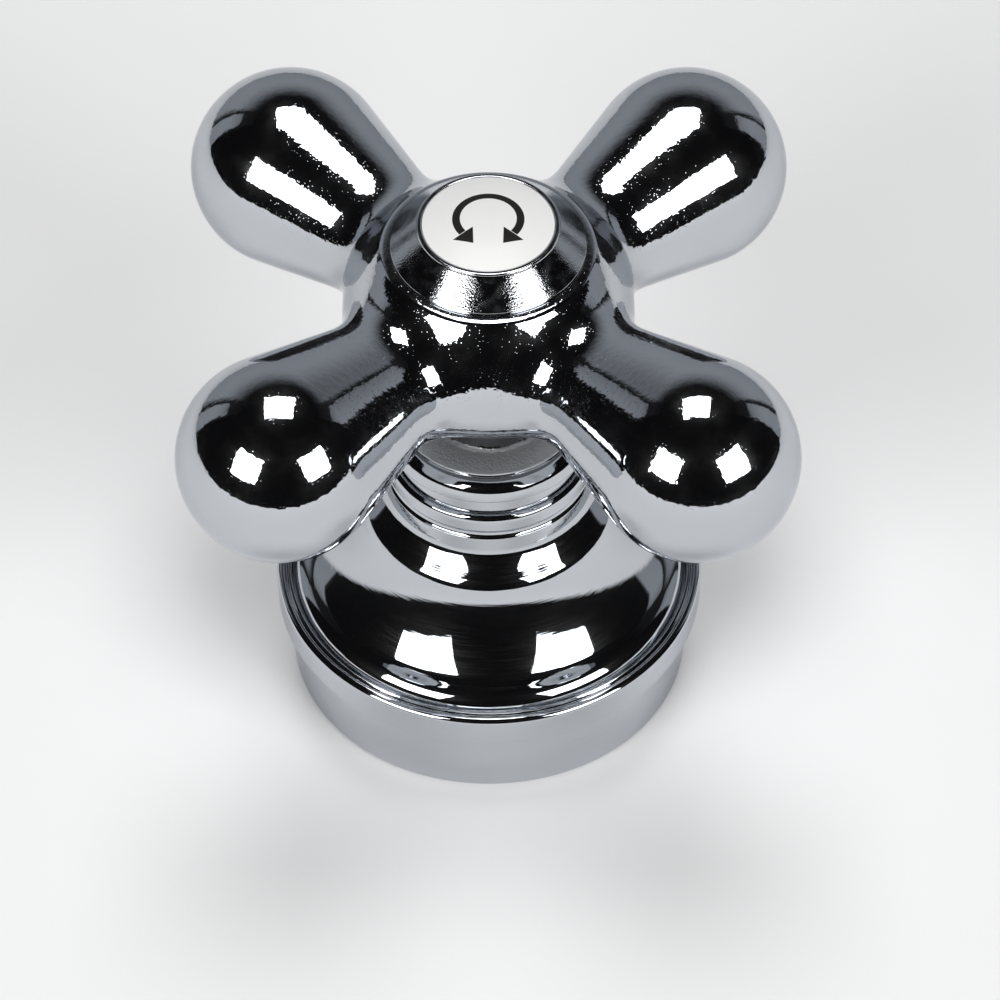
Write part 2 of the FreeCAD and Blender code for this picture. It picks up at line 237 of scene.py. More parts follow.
outside_upwards = chain(
    (COLLAR_RADIUS - COLLAR_CHAMFER, 0),
    (COLLAR_RADIUS, COLLAR_CHAMFER),
    (COLLAR_RADIUS, COLLAR_HEIGHT),
    (RIM_RADIUS, RIM_FOOT),
    roll,
    RIM_LINES,
    brim,
    dip,
    bell_cove,
    ring3_edge,
    ring3_cove,
    neck_line,
    ring2_edge,
    (GROOVE_RADIUS, RING1_FOOT),
    (RING1_RADIUS, RING1_FOOT),
    ring1_edge,
    (SHELF_RADIUS, SHELF),
    stem_foot,
    (STEM_RADIUS, STEM_CUT),
)
print("outside points", len(outside_upwards), "widest", outside_upwards[:, 0].max())

# %% The lip round the button, and the hub's crown
LIP_INNER, LIP_RADIUS, LIP_SLOPE, LIP_ROUND = 9.62, 10.1, 11.0, 0.8
CROWN_SLOPE, CROWN_SHOULDER, CROWN_FLARE = 48.7, 0.3, 5.05
HUB_RADIUS, ARM_AXIS = 14.3, 48.65

lip_drop = (LIP_RADIUS - LIP_INNER) * math.tan(math.radians(LIP_SLOPE))
lip_centre = np.array((LIP_RADIUS, HUB_TOP - lip_drop)) - LIP_ROUND * facing_way(LIP_SLOPE)
lip = chain((LIP_INNER, HUB_TOP), arc(lip_centre, LIP_ROUND, 90 - LIP_SLOPE, 90 - CROWN_SLOPE, steps=8))
crown = bezier(
    (HUB_RADIUS, ARM_AXIS),
    (HUB_RADIUS, ARM_AXIS + CROWN_SHOULDER),
    lip[-1] - CROWN_FLARE * slope_way(CROWN_SLOPE),
    lip[-1],
    steps=60,
)
print("lip from", lip[0].round(2), "to", lip[-1].round(2))

# %% The hollow and the screw's way, from the collar's bore up to the lip
COLLAR_BORE = mounts["collar_bore"]["dims"]["r_mm"]
PILOT_RADIUS = mounts["stem_pilot"]["dims"]["r_mm"]
BORE_TOP = mounts["collar_bore"]["dims"]["length_mm"]
SKIRT_BEND, BELL_WALL, WELL_RADIUS, WELL_DRAFT = 1.8, 2.2, 8.2, 0.3
SOCKET_MOUTH, PILOT_DEPTH, SOCKET_TOP, BROACH_MAJOR = 23.0, 3.0, 33.0, 4.9
SCREW_HOLE, SCREW_SEAT, BUTTON_SOCKET = 2.7, 46.3, 5.55

hollow_upwards = chain(
    (COLLAR_BORE, 0),
    (COLLAR_BORE, BORE_TOP),
    (COLLAR_BORE - SKIRT_BEND, BORE_TOP + SKIRT_BEND),
    (RING3_RADIUS - BELL_WALL, BELL_TOP - BELL_WALL),
    (WELL_RADIUS, BELL_TOP),
    (WELL_RADIUS - WELL_DRAFT, SOCKET_MOUTH),
    (PILOT_RADIUS, SOCKET_MOUTH),
    (PILOT_RADIUS, SOCKET_MOUTH + PILOT_DEPTH),
    (BROACH_MAJOR, SOCKET_MOUTH + PILOT_DEPTH),
)
screw_way_upwards = chain(
    (BROACH_MAJOR, SOCKET_TOP),
    (SCREW_HOLE, SOCKET_TOP),
    (SCREW_HOLE, SCREW_SEAT),
    (BUTTON_SOCKET, SCREW_SEAT),
    (BUTTON_SOCKET, HUB_TOP),
    lip,
)
print("hollow points", len(hollow_upwards) + len(screw_way_upwards))

# %% [markdown]
# ## Turning an outline into a mesh
# A screw modifier could turn an outline too. Here the rings are written straight into arrays, because
# two things are wanted with each point: its normal, worked out from the outline, and its place in the
# chain, so that the broached socket's rings can take a star shape. Long flat stretches keep their true
# normal because each point weighs its two neighbours by their length.

# %% Rings of points with exact normals
BROACH_MINOR, BROACH_POINTS, SEGMENTS_ON_FLANK = 4.35, 12, 7
SEGMENTS = SEGMENTS_ON_FLANK * 2 * BROACH_POINTS
angles = 2 * math.pi * np.arange(SEGMENTS) / SEGMENTS


def outline_normals(points):
    """The direction that faces out of the metal at each point, for a chain with metal on its left."""
    step = np.diff(points, axis=0)
    facing = np.column_stack((step[:, 1], -step[:, 0]))
    sums = np.zeros_like(points)
    sums[:-1] += facing
    sums[1:] += facing
    return sums / np.linalg.norm(sums, axis=1)[:, None]


def rings(points, normals):
    """Turns a chain about the upright axis: points and normals, ring after ring."""
    ways = np.column_stack((np.cos(angles), np.sin(angles)))

    def turned(pairs):
        flat = pairs[:, None, :1] * ways[None]
        upright = np.broadcast_to(pairs[:, None, 1:], flat.shape[:2] + (1,))
        return np.concatenate((flat, upright), 2).reshape(-1, 3)

    return turned(points), turned(normals)


print("segments round the axis", SEGMENTS)

# %% Faces between rings, and the socket's star
def ring_faces(count):
    """Four-sided faces between neighbouring rings."""
    ring = np.arange(SEGMENTS)
    following = np.roll(ring, -1)
    faces = []
    for low in range(count - 1):
        here, there = low * SEGMENTS, (low + 1) * SEGMENTS
        faces.append(np.column_stack((here + ring, here + following, there + following, there + ring)))
    return np.vstack(faces)


def star_share():
    """How far out the socket's star reaches at each segment, as a share of its points' radius."""
    pitch = math.pi / BROACH_POINTS
    within = np.mod(angles, 2 * pitch)
    within = np.minimum(within, 2 * pitch - within)
    across = BROACH_MAJOR * np.sin(pitch - within) + BROACH_MINOR * np.sin(within)
    return BROACH_MINOR * math.sin(pitch) / across


print("star from", star_share().min().round(3), "to", star_share().max().round(3))

# %% [markdown]
# ## The cross: four arms that grow out of the hub
# On the real casting the arms flow into the hub with no visible join. Booleans with a bevel give a
# blend whose ends show in the mirror. A field does better: each body has a distance that says how far
# a point is from its skin, each distance becomes a share that fades out with the blend's reach, and the
# skin of the whole is where the shares add up to one. A cube of the share fades so gently that the
# reflections run through without a kink.

# %% The hub's side as a table of radii
STEM_TOP, STEM_FLARE, HUB_BELLY, BEYOND_LIP = SHELF + 2.6, 4.8, 8.4, 6.0
TABLE_STEP, TABLE_PAST_HUB, BLUR_WIDTH, BLUR_STEPS = 0.01, 3.0, 0.45, 150

belly = bezier(
    (STEM_RADIUS, STEM_TOP),
    (STEM_RADIUS, STEM_TOP + STEM_FLARE),
    (HUB_RADIUS, ARM_AXIS - HUB_BELLY),
    (HUB_RADIUS, ARM_AXIS),
    steps=60,
)
hub_side = chain((STEM_RADIUS, SHELF), belly, crown, lip[-1] + BEYOND_LIP * slope_way(CROWN_SLOPE))
table_height = np.arange(SHELF, HUB_TOP + TABLE_PAST_HUB, TABLE_STEP)
blur = np.exp(-0.5 * (np.arange(-BLUR_STEPS, BLUR_STEPS + 1) * TABLE_STEP / BLUR_WIDTH) ** 2)
padded = np.pad(np.interp(table_height, hub_side[:, 1], hub_side[:, 0]), BLUR_STEPS, mode="edge")
hub_radius = np.convolve(padded, blur / blur.sum(), "valid")
hub_lean = 1 / np.sqrt(1 + np.gradient(hub_radius, TABLE_STEP) ** 2)
print("hub radius from", hub_radius.min().round(2), "to", hub_radius.max().round(2))

# %% The field of the hub and its arms
ARM_REACH, BULB_RADIUS, ARM_TAPER = 28.0, 10.0, math.radians(14.5)
ARM_ANGLES = [math.radians(45 + 90 * index) for index in range(4)]
BLEND_REACH = 4.5


def arm_distance(points, turn):
    """How far points are from an arm's skin: a round taper that runs tangent into a ball."""
    along = points[..., 0] * math.cos(turn) + points[..., 1] * math.sin(turn)
    side = points[..., 1] * math.cos(turn) - points[..., 0] * math.sin(turn)
    out = np.hypot(side, points[..., 2] - ARM_AXIS)
    ball = np.hypot(along - ARM_REACH, out) - BULB_RADIUS
    taper = out * math.cos(ARM_TAPER) + (ARM_REACH - along) * math.sin(ARM_TAPER) - BULB_RADIUS
    bulb_start = ARM_REACH - along < out * math.tan(ARM_TAPER)
    return np.where(bulb_start, ball, taper)


def cross_field(points):
    """Above zero inside the cross, zero on its skin."""
    out = np.hypot(points[..., 0], points[..., 1])
    lean = np.interp(points[..., 2], table_height, hub_lean)
    distances = [(out - np.interp(points[..., 2], table_height, hub_radius)) * lean]
    distances += [arm_distance(points, turn) for turn in ARM_ANGLES]
    return sum(np.maximum(1 - distance / BLEND_REACH, 0) ** 3 for distance in distances) - 1


def field_slope(points, step=2e-3):
    """The field's slope, measured across a small step each way."""
    slope = np.empty_like(points)
    for axis in range(3):
        offset = np.zeros(3)
        offset[axis] = step
        slope[:, axis] = (cross_field(points + offset) - cross_field(points - offset)) / (2 * step)
    return slope


print("field in the hub", cross_field(np.array((0.0, 0.0, ARM_AXIS))).round(2))

# %% [markdown]
# ## A net of faces on the skin
# Space is cut into small cells. Every cell that the skin passes through gets one point, and every cell
# edge that crosses the skin gets a face between the four cells around it. The points then slide onto
# the skin along the field's slope, and are spread evenly a few times. The two open ends, at the stem and
# under the lip, are kept level so that the turned parts can be joined to them.

# %% Cells and faces
CELL = 0.5
ROOM = 2 * CELL


def crossing_faces(cell_number, inside, axis):
    """Faces round every grid edge along one axis whose two ends are on different sides of the skin."""
    first, second = [other for other in range(3) if other != axis]
    low = np.take(inside, range(inside.shape[axis] - 1), axis)
    high = np.take(inside, range(1, inside.shape[axis]), axis)
    places = np.argwhere(low != high)
    shape = np.array(cell_number.shape)
    keep = (places[:, first] > 0) & (places[:, second] > 0)
    keep &= (places[:, first] < shape[first]) & (places[:, second] < shape[second])
    places = places[keep]
    corners = []
    for back_first, back_second in ((1, 1), (0, 1), (0, 0), (1, 0)):
        cell = places.copy()
        cell[:, first] -= back_first
        cell[:, second] -= back_second
        corners.append(cell_number[tuple(cell.T)])
    return np.column_stack(corners)


def net_of_faces(low, high):
    """Points in the cells that the skin crosses, and the faces between them."""
    axes = [np.arange(start, end + CELL / 2, CELL) for start, end in zip(low, high)]
    inside = cross_field(np.stack(np.meshgrid(*axes, indexing="ij"), -1)) > 0
    cells = tuple(len(axis) - 1 for axis in axes)
    count = np.zeros(cells, int)
    for dx in (0, 1):
        for dy in (0, 1):
            for dz in (0, 1):
                count += inside[dx : dx + cells[0], dy : dy + cells[1], dz : dz + cells[2]]
    crossed = np.argwhere((count > 0) & (count < 8))
    cell_number = np.full(cells, -1)
    cell_number[tuple(crossed.T)] = np.arange(len(crossed))
    points = np.array(low) + (crossed + 0.5) * CELL
    return points, np.vstack([crossing_faces(cell_number, inside, axis) for axis in range(3)])


half_width = ARM_REACH * math.cos(ARM_ANGLES[0]) + BULB_RADIUS + ROOM
lowest = (-half_width, -half_width, STEM_CUT)
highest = (half_width, half_width, ARM_AXIS + BULB_RADIUS + ROOM)
cross_points, cross_faces = net_of_faces(lowest, highest)
print("net points", len(cross_points), "faces", len(cross_faces))

# %% Open the net under the lip, where the button sits
CROWN_CUT = HUB_TOP - 0.75

on_seat = cross_points[:, 2] > CROWN_CUT
on_seat &= np.hypot(cross_points[:, 0], cross_points[:, 1]) < HUB_RADIUS
kept_faces = cross_faces[~on_seat[cross_faces].any(1)]
used, numbers = np.unique(kept_faces, return_inverse=True)
cross_points, cross_faces = cross_points[used], numbers.reshape(kept_faces.shape)
print("net points left", len(cross_points), "faces", len(cross_faces))

# %% Level the two ends and settle the net
def open_edges(faces):
    """The edges that only one face has, as pairs of point numbers."""
    pairs = np.sort(np.vstack([faces[:, [one, (one + 1) % 4]] for one in range(4)]), axis=1)
    pairs, uses = np.unique(pairs, axis=0, return_counts=True)
    return pairs[uses == 1]


def settle(points, faces, levels, rounds=6, slides=3):
    """Spreads the points evenly and slides them onto the skin. Points with a level stay at that height."""
    level_points = np.isfinite(levels)
    for _ in range(rounds):
        middles = points[faces].mean(1)
        uses = np.bincount(faces.ravel(), minlength=len(points))
        spread = np.empty_like(points)
        for axis in range(3):
            sums = np.bincount(faces.ravel(), np.repeat(middles[:, axis], 4), len(points))
            spread[:, axis] = sums / np.maximum(uses, 1)
        points = np.where(level_points[:, None], points, spread)
        for _ in range(slides):
            points[level_points, 2] = levels[level_points]
            slope = field_slope(points)
            slope[level_points, 2] = 0
            steepness = (slope**2).sum(1)
            points = points - slope * (cross_field(points) / steepness)[:, None]
    return points


end_numbers = np.unique(open_edges(cross_faces))
end_levels = np.full(len(cross_points), np.nan)
lower_end = cross_points[end_numbers, 2] < ARM_AXIS
end_levels[end_numbers] = np.where(lower_end, STEM_CUT + CELL, CROWN_CUT)
cross_points = settle(cross_points, cross_faces, end_levels)
cross_normals = -field_slope(cross_points)
cross_normals /= np.linalg.norm(cross_normals, axis=1)[:, None]
print("skin error", float(np.abs(cross_field(cross_points)).max()), "end points", len(end_numbers))

# %% [markdown]
# ## Joining the turned parts and the cross into one skin
# The stem's last ring and the net's open end have different numbers of points. Both run once round the
# axis, so a zip of triangles joins them: it steps along whichever loop is behind. The result is one
# closed skin, as a casting has, with no inner walls.

# %% Zip two loops round the axis
def round_axis(points, numbers):
    """Point numbers in order of their angle about the axis, with those angles and the first one again."""
    turn = np.arctan2(points[numbers, 1], points[numbers, 0])
    order = np.argsort(turn)
    return numbers[order], np.append(turn[order], turn[order[0]] + 2 * math.pi)


def zip_loops(points, first, second):
    """Triangles between two loops of points."""
    loop_a, turn_a = round_axis(points, first)
    loop_b, turn_b = round_axis(points, second)
    at_a, at_b, faces = 0, 0, []
    while at_a < len(loop_a) or at_b < len(loop_b):
        here_a, here_b = loop_a[at_a % len(loop_a)], loop_b[at_b % len(loop_b)]
        a_is_behind = at_b == len(loop_b) or (at_a < len(loop_a) and turn_a[at_a + 1] < turn_b[at_b + 1])
        if a_is_behind:
            at_a += 1
            faces.append((here_a, loop_a[at_a % len(loop_a)], here_b))
        else:
            at_b += 1
            faces.append((here_a, loop_b[at_b % len(loop_b)], here_b))
    return faces


print("points to zip: stem", SEGMENTS, "and", lower_end.sum(), "lip", SEGMENTS, "and", (~lower_end).sum())

# %% Turned points of the casting, with the star in its socket
EDGE_ROUND = 0.14

outside = eased(outside_upwards[::-1], EDGE_ROUND)
hollow = eased(hollow_upwards, EDGE_ROUND)
screw_way = eased(screw_way_upwards, EDGE_ROUND)
casting_chains = (outside, hollow, screw_way)
casting_outline = np.vstack(casting_chains)
facing_out = np.vstack([-outline_normals(points) for points in casting_chains])
turned_points, turned_normals = rings(casting_outline, facing_out)
socket_foot = len(outside) + len(hollow) - 1
for ring in (socket_foot, socket_foot + 1):
    span = slice(ring * SEGMENTS, (ring + 1) * SEGMENTS)
    turned_points[span, :2] *= star_share()[:, None]
    turned_normals[span] = 0
print("rings", len(casting_outline), "socket from ring", socket_foot)

# %% A smooth mesh with given normals
SHARP_ANGLE = math.radians(32)


def added(name, data):
    """A new object in the scene."""
    piece = bpy.data.objects.new(name, data)
    bpy.context.scene.collection.objects.link(piece)
    return piece


def reworked(mesh, change):
    """The same mesh after a change by Blender's mesh operators."""
    work = bmesh.new()
    work.from_mesh(mesh)
    change(work)
    work.to_mesh(mesh)
    work.free()
    return mesh


def plated_mesh(name, points, faces, normals):
    """A smooth mesh in metres with the given normals. A zero normal is left for the faces to decide."""
    mesh = bpy.data.meshes.new(name)
    mesh.from_pydata((points * MM).tolist(), [], [list(map(int, face)) for face in faces])
    reworked(mesh, lambda work: bmesh.ops.recalc_face_normals(work, faces=work.faces))
    mesh.shade_smooth()
    mesh.set_sharp_from_angle(angle=SHARP_ANGLE)
    mesh.normals_split_custom_set_from_vertices(normals.tolist())
    return added(name, mesh)


print("helpers ready: added, reworked, plated_mesh")

# %% The whole casting
first_cross = len(turned_points)
casting_points = np.vstack((turned_points, cross_points))
casting_normals = np.vstack((turned_normals, cross_normals))
stem_ring = np.arange(SEGMENTS)
crown_ring = stem_ring + first_cross - SEGMENTS
casting_faces = ring_faces(len(casting_outline)).tolist() + (cross_faces + first_cross).tolist()
casting_faces += zip_loops(casting_points, stem_ring, end_numbers[lower_end] + first_cross)
casting_faces += zip_loops(casting_points, crown_ring, end_numbers[~lower_end] + first_cross)
casting = plated_mesh("handle_casting_skin", casting_points, casting_faces, casting_normals)
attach(casting, "root")
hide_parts("handle_casting")
print("casting faces", len(casting.data.polygons))

# %% Test that the skin is closed
skin_test = bmesh.new()
skin_test.from_mesh(casting.data)
open_count = sum(not edge.is_manifold for edge in skin_test.edges)
print("open edges", open_count, "volume in mm3", round(skin_test.calc_volume() / MM**3))
skin_test.free()

# %% [markdown]
# ## The button
# The bezel is a shallow plated cone with a hairline ring round its pocket, and a plug below that snaps
# into the hub. The disc is a glossy white dome in the pocket. Both are turned, so they use the same rings
# as the bell. Their outlines start and end on the axis, where a ring shrinks to one point, so points that
# fall on each other are merged.

# %% Turned pieces that close on the axis
BUTTON_EDGE_ROUND = 0.12
SAME_POINT = 1e-7


def merge_points(piece):
    """Makes one point of those that fall on each other, as on the axis."""
    reworked(piece.data, lambda work: bmesh.ops.remove_doubles(work, verts=work.verts, dist=SAME_POINT))


def turned_piece(name, node, outline):
    """A turned piece that stands for a node of the frame. Its outline begins and ends on the axis."""
    points = eased(outline, BUTTON_EDGE_ROUND)
    placed, facing = rings(points, outline_normals(points))
    piece = plated_mesh(name, placed, ring_faces(len(points)), facing)
    merge_points(piece)
    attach(piece, "root")
    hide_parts(node)
    print(name, "faces", len(piece.data.polygons))
    return piece


print("the button's edges are rounded by", BUTTON_EDGE_ROUND, "mm")

# %% Bezel
BEZEL_EDGE, BEZEL_RING_RADIUS, BEZEL_RING_WIDTH, BEZEL_RING_ROUND = 0.4, 6.95, 0.5, 0.2
PLUG_RADIUS, PLUG_BORE = 5.5, 4.3

pocket_radius = BEZEL_RING_RADIUS - BEZEL_RING_WIDTH
ring_centre = (BEZEL_RING_RADIUS - BEZEL_RING_ROUND, BEZEL_TOP - BEZEL_RING_ROUND)
bezel_outline = chain(
    (0, HUB_TOP),
    (PLUG_BORE, HUB_TOP),
    (PLUG_BORE, PLUG_FOOT),
    (PLUG_RADIUS, PLUG_FOOT),
    (PLUG_RADIUS, HUB_TOP),
    (BEZEL_RADIUS, HUB_TOP),
    (BEZEL_RADIUS, HUB_TOP + BEZEL_EDGE),
    arc(ring_centre, BEZEL_RING_ROUND, 0, 90, steps=6),
    (pocket_radius, BEZEL_TOP),
    (pocket_radius, DISC_FOOT),
    (0, DISC_FOOT),
)
bezel = turned_piece("button_bezel_skin", "button_bezel", bezel_outline)

# %% Disc
DISC_CROWN = 0.85

dome_radius = (DISC_RADIUS**2 + DISC_CROWN**2) / (2 * DISC_CROWN)
dome_edge = math.degrees(math.acos(DISC_RADIUS / dome_radius))
disc_outline = chain(
    (0, DISC_FOOT),
    (DISC_RADIUS, DISC_FOOT),
    arc((0, DISC_TOP - dome_radius), dome_radius, dome_edge, 90, steps=24),
)
disc = turned_piece("button_disc_skin", "button_disc", disc_outline)

# %% [markdown]
# ## The screw that clamps the handle
# The button hides the screw's head, but its thread shows from below, in the socket. A thread is a ridge
# that climbs one pitch each turn. Blender's screw modifier can make one, but a plain grid is simpler
# here: the radius of each point depends on its height and its angle together. The head's slot is cut with
# a boolean, because that is how it is cut on a real screw: by one pass of a saw.

# %% Screw
THREAD_PITCH, THREAD_DEPTH, THREAD_STEPS, RIDGE_WIDTH, RIDGE_SLOPE = 0.8, 0.45, 8, 1.15, 1.3
SHANK_RADIUS, PLAIN_SHANK, TIP_LENGTH, TIP_CUT, HEAD_ROUND = 2.45, 3.0, 1.0, 0.7, 0.8


def thread_radius(heights):
    """The shank's radius for each height and angle, with a pointed tip and a plain length under the head."""
    phase = np.mod(heights[:, None] / THREAD_PITCH - angles / (2 * math.pi), 1)
    ridge = np.clip(RIDGE_WIDTH - RIDGE_SLOPE * np.abs(2 * phase - 1), 0, 1)
    cut = np.clip((SCREW_SEAT - PLAIN_SHANK - heights) / THREAD_PITCH, 0, 1)[:, None]
    tip = np.clip((SCREW_TIP + TIP_LENGTH - heights) / TIP_LENGTH, 0, 1)[:, None]
    return SHANK_RADIUS - THREAD_DEPTH * (1 - ridge) * cut - TIP_CUT * tip


shank_heights = np.arange(SCREW_TIP, SCREW_SEAT, THREAD_PITCH / THREAD_STEPS)
head_outline = chain(
    (SHANK_RADIUS, SCREW_SEAT),
    (SCREW_HEAD_RADIUS, SCREW_SEAT),
    arc((SCREW_HEAD_RADIUS - HEAD_ROUND, SCREW_TOP - HEAD_ROUND), HEAD_ROUND, 0, 90, steps=8),
    (0, SCREW_TOP),
)
head_radii = np.broadcast_to(head_outline[:, :1], (len(head_outline), SEGMENTS))
screw_radii = np.vstack((np.zeros((1, SEGMENTS)), thread_radius(shank_heights), head_radii))
screw_heights = np.concatenate(([SCREW_TIP], shank_heights, head_outline[:, 1]))
screw_grid = (
    screw_radii * np.cos(angles),
    screw_radii * np.sin(angles),
    np.broadcast_to(screw_heights[:, None], screw_radii.shape),
)
screw_points = np.stack(screw_grid, 2).reshape(-1, 3)
screw_faces = ring_faces(len(screw_heights))
screw = plated_mesh("stem_screw_thread", screw_points, screw_faces, np.zeros_like(screw_points))
merge_points(screw)
print("screw rings", len(screw_heights), "thread turns", round(np.ptp(shank_heights) / THREAD_PITCH, 1))

# %% Saw the slot into the screw's head
SLOT_WIDTH, SLOT_DEPTH = 1.2, 1.3
SAW_LENGTH = 3 * SCREW_HEAD_RADIUS

saw_mesh = bpy.data.meshes.new("slot_saw")
saw = added("slot_saw", reworked(saw_mesh, lambda work: bmesh.ops.create_cube(work, size=1.0)))
# The saw's middle is at the top of the head, so it is twice as tall as the slot is deep
saw.scale = np.array((SAW_LENGTH, SLOT_WIDTH, 2 * SLOT_DEPTH)) * MM
saw.location = (0, 0, SCREW_TOP * MM)
slot_cut = screw.modifiers.new("slot", "BOOLEAN")
slot_cut.object = saw
slot_cut.operation = "DIFFERENCE"
sawn = bpy.data.meshes.new_from_object(screw.evaluated_get(bpy.context.evaluated_depsgraph_get()))
screw.modifiers.clear()
screw.data = sawn
bpy.data.objects.remove(saw)
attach(screw, "root")
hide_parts("stem_screw")
print("screw faces", len(sawn.polygons))

# %% [markdown]
# ## Helpers for the finishes
# Every finish is worked out from a point's own place on the piece, in millimetres, so grain and pits have
# a real size and need no unwrapping. Nodes can be laid by hand in the shader editor, but small helpers
# keep every tree short and alike: for sums, for grain, for soft steps and for colours between two. The
# relief of a surface is added up in millimetres and goes through one bump node.

# %% Materials
def finish(name):
    """A new material: itself, its node tree and its main shader."""
    material = bpy.data.materials.new(name)
    material.use_nodes = True
    return material, material.node_tree, material.node_tree.nodes["Principled BSDF"]


def wear(piece, material):
    """Gives a piece one material."""
    piece.data.materials.clear()
    piece.data.materials.append(material)


def feed(tree, socket, value):
    """Sets a socket to a number, or links another node's output to it."""
    if isinstance(value, (int, float)):
        socket.default_value = value
    else:
        tree.links.new(value, socket)


print("helpers ready: finish, wear, feed")

# %% Sums
def reckon(tree, operation, *values):
    """One sum in a node tree."""
    node = tree.nodes.new("ShaderNodeMath")
    node.operation = operation
    for socket, value in zip(node.inputs, values):
        feed(tree, socket, value)
    return node.outputs[0]


def times(tree, first, second):
    """One value times another."""
    return reckon(tree, "MULTIPLY", first, second)


def total(tree, *values):
    """Several values added up."""
    result = values[0]
    for value in values[1:]:
        result = reckon(tree, "ADD", result, value)
    return result


def vector(tree, *parts):
    """Three values as one vector."""
    node = tree.nodes.new("ShaderNodeCombineXYZ")
    for socket, part in zip(node.inputs, parts):
        feed(tree, socket, part)
    return node.outputs[0]


print("helpers ready: reckon, times, total, vector")

# %% Grain, soft steps and colours
def grain(tree, place, size, detail=2.0):
    """Soft random values round a half, in lumps about as large as size."""
    node = tree.nodes.new("ShaderNodeTexNoise")
    node.inputs["Scale"].default_value = 1 / size
    node.inputs["Detail"].default_value = detail
    tree.links.new(place, node.inputs["Vector"])
    return node.outputs["Fac"]


def nearest_point(tree, place, spacing):
    """How far the nearest of many strewn points is, as a share of their spacing."""
    node = tree.nodes.new("ShaderNodeTexVoronoi")
    node.inputs["Scale"].default_value = 1 / spacing
    tree.links.new(place, node.inputs["Vector"])
    return node.outputs["Distance"]


def soft_step(tree, value, low, high, from_value=0.0, to_value=1.0):
    """Goes softly from one value to another while its input goes from low to high."""
    node = tree.nodes.new("ShaderNodeMapRange")
    node.interpolation_type = "SMOOTHSTEP"
    ends = {"From Min": low, "From Max": high, "To Min": from_value, "To Max": to_value}
    for name, number in ends.items():
        node.inputs[name].default_value = number
    tree.links.new(value, node.inputs["Value"])
    return node.outputs["Result"]


def two_tone(tree, share, first, second):
    """A colour between two, by a share from 0 to 1."""
    node = tree.nodes.new("ShaderNodeMix")
    node.data_type = "RGBA"
    feed(tree, node.inputs["Factor"], share)
    for name, colour in (("A", first), ("B", second)):
        socket = next(s for s in node.inputs if s.name == name and s.type == "RGBA")
        if isinstance(colour, tuple):
            socket.default_value = (*colour, 1)
        else:
            tree.links.new(colour, socket)
    return next(s for s in node.outputs if s.type == "RGBA")


print("helpers ready: grain, nearest_point, soft_step, two_tone")

# %% A point's place, and the relief
def own_place(tree):
    """A point's place on its piece in millimetres, its three parts and its distance from the axis."""
    coordinates = tree.nodes.new("ShaderNodeTexCoord")
    scaled = tree.nodes.new("ShaderNodeVectorMath")
    scaled.operation = "SCALE"
    scaled.inputs["Scale"].default_value = 1 / MM
    tree.links.new(coordinates.outputs["Object"], scaled.inputs[0])
    parts = tree.nodes.new("ShaderNodeSeparateXYZ")
    tree.links.new(scaled.outputs[0], parts.inputs[0])
    x, y, z = parts.outputs
    squares = total(tree, times(tree, x, x), times(tree, y, y))
    return scaled.outputs[0], x, y, z, reckon(tree, "SQRT", squares)


def relief(tree, shader, height):
    """Raises the surface by a height in millimetres."""
    bump = tree.nodes.new("ShaderNodeBump")
    bump.inputs["Distance"].default_value = MM
    tree.links.new(height, bump.inputs["Height"])
    tree.links.new(bump.outputs["Normal"], shader.inputs["Normal"])


print("helpers ready: own_place, relief")

# %% [markdown]
# ## Bright chromium on a cast handle
# Chromium mirrors a little over half of the light, with a cold tint, and hardly more at a grazing angle,
# which the shader's specular tint gives. What tells it from a perfect mirror is the zinc below it. The
# arms were polished by hand on a wheel, so they are slightly wavy, and near the hub the skin has the
# fine ripple called orange peel, with pits where the casting was porous. A thin film from handling gives
# each highlight a faint halo: the shader's coat does that, thicker in some places than in others.

# %% What every plated face shares
PLATE_DARK, PLATE_LIGHT, PLATE_GRAZING = (0.53, 0.552, 0.584), (0.57, 0.592, 0.624), (0.75, 0.76, 0.78)
PLATE_ROUGHNESS, SMUDGE_ROUGHNESS, SMUDGE_SIZE, SMUDGE_RANGE = 0.025, 0.045, 5.0, (0.48, 0.75)
FILM_LEAST, FILM_MOST, FILM_ROUGHNESS, FILM_RANGE = 0.10, 0.45, 0.3, (0.42, 0.72)


def plated(shader):
    """The parts of a plated finish that are the same all over."""
    shader.inputs["Metallic"].default_value = 1.0
    shader.inputs["Specular Tint"].default_value = (*PLATE_GRAZING, 1)


def handled(tree, shader, place, size):
    """A thin film from hands on top of the plate, thicker in some places."""
    film = soft_step(tree, grain(tree, place, size), *FILM_RANGE, FILM_LEAST, FILM_MOST)
    feed(tree, shader.inputs["Coat Weight"], film)
    shader.inputs["Coat Roughness"].default_value = FILM_ROUGHNESS


def smudges(tree, place):
    """The plate's roughness, with duller smudges."""
    lumps = grain(tree, place, SMUDGE_SIZE)
    return soft_step(tree, lumps, *SMUDGE_RANGE, PLATE_ROUGHNESS, SMUDGE_ROUGHNESS)


print("plate between", PLATE_DARK, "and", PLATE_LIGHT)
